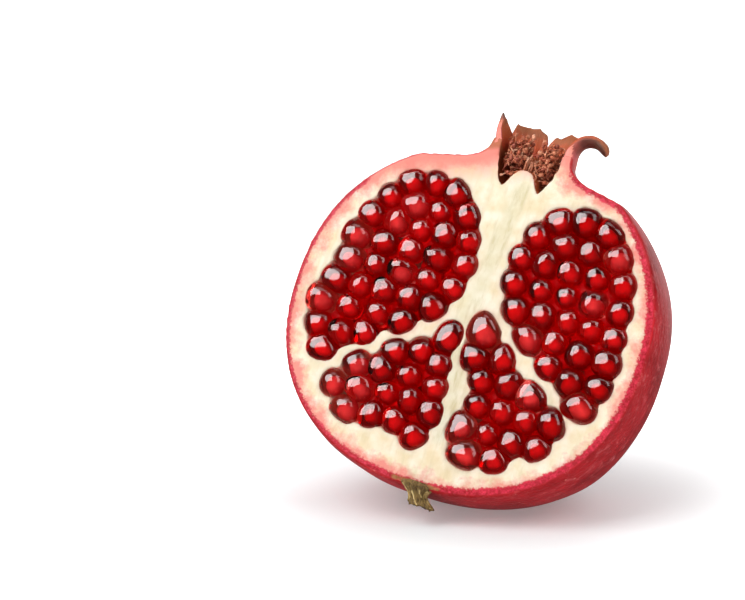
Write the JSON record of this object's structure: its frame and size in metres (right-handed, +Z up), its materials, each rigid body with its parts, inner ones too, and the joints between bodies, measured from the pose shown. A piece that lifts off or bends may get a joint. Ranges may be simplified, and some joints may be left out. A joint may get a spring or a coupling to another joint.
{
  "type": "cut pomegranate half",
  "caption": "Half of a ripe pomegranate cut from crown to stalk, standing on a small flat spot with its juice sacs showing in the open chambers.",
  "frame": {"origin": "middle of the flat spot that the half stands on", "axes": "+Z up from the surface it stands on; -Y is the side that the cut face looks to, leaning back 21 degrees; the crown leans 13.5 degrees to +X"},
  "size_m": [0.0966, 0.0749, 0.0984],
  "materials": {
    "rind_and_pith": "satin",
    "juice_sacs": "gloss",
    "deep_juice_sacs": "gloss",
    "dried_calyx": "matte",
    "dried_stamens": "matte",
    "stalk_wood": "matte"
  },
  "bodies": {
    "root": {"aril_bed_lower_left": "deep_juice_sacs", "aril_bed_lower_middle": "deep_juice_sacs", "aril_bed_right": "deep_juice_sacs", "aril_bed_upper_left": "deep_juice_sacs", "arils_lower_left_row_1": "juice_sacs", "arils_lower_left_row_2": "juice_sacs", "arils_lower_left_row_3": "juice_sacs", "arils_lower_left_row_4": "juice_sacs", "arils_lower_left_row_5": "juice_sacs", "arils_lower_middle_row_1": "juice_sacs", "arils_lower_middle_row_2": "juice_sacs", "arils_lower_middle_row_3": "juice_sacs", "arils_lower_middle_row_4": "juice_sacs", "arils_lower_middle_row_5": "juice_sacs", "arils_lower_middle_row_6": "juice_sacs", "arils_right_row_1": "juice_sacs", "arils_right_row_2": "juice_sacs", "arils_right_row_3": "juice_sacs", "arils_right_row_4": "juice_sacs", "arils_right_row_5": "juice_sacs", "arils_right_row_6": "juice_sacs", "arils_right_row_7": "juice_sacs", "arils_right_row_8": "juice_sacs", "arils_upper_left_row_1": "juice_sacs", "arils_upper_left_row_2": "juice_sacs", "arils_upper_left_row_3": "juice_sacs", "arils_upper_left_row_4": "juice_sacs", "arils_upper_left_row_5": "juice_sacs", "arils_upper_left_row_6": "juice_sacs", "arils_upper_left_row_7": "juice_sacs", "arils_upper_left_row_8": "juice_sacs", "arils_upper_left_row_9": "juice_sacs", "husk": "rind_and_pith", "sepal_back_left": "dried_calyx", "sepal_back_right": "dried_calyx", "sepal_curled": "dried_calyx", "sepal_left": "dried_calyx", "stamens_left": "dried_stamens", "stamens_right": "dried_stamens", "stem_stub": "stalk_wood", "style": "dried_calyx"}
  },
  "joints": []
}
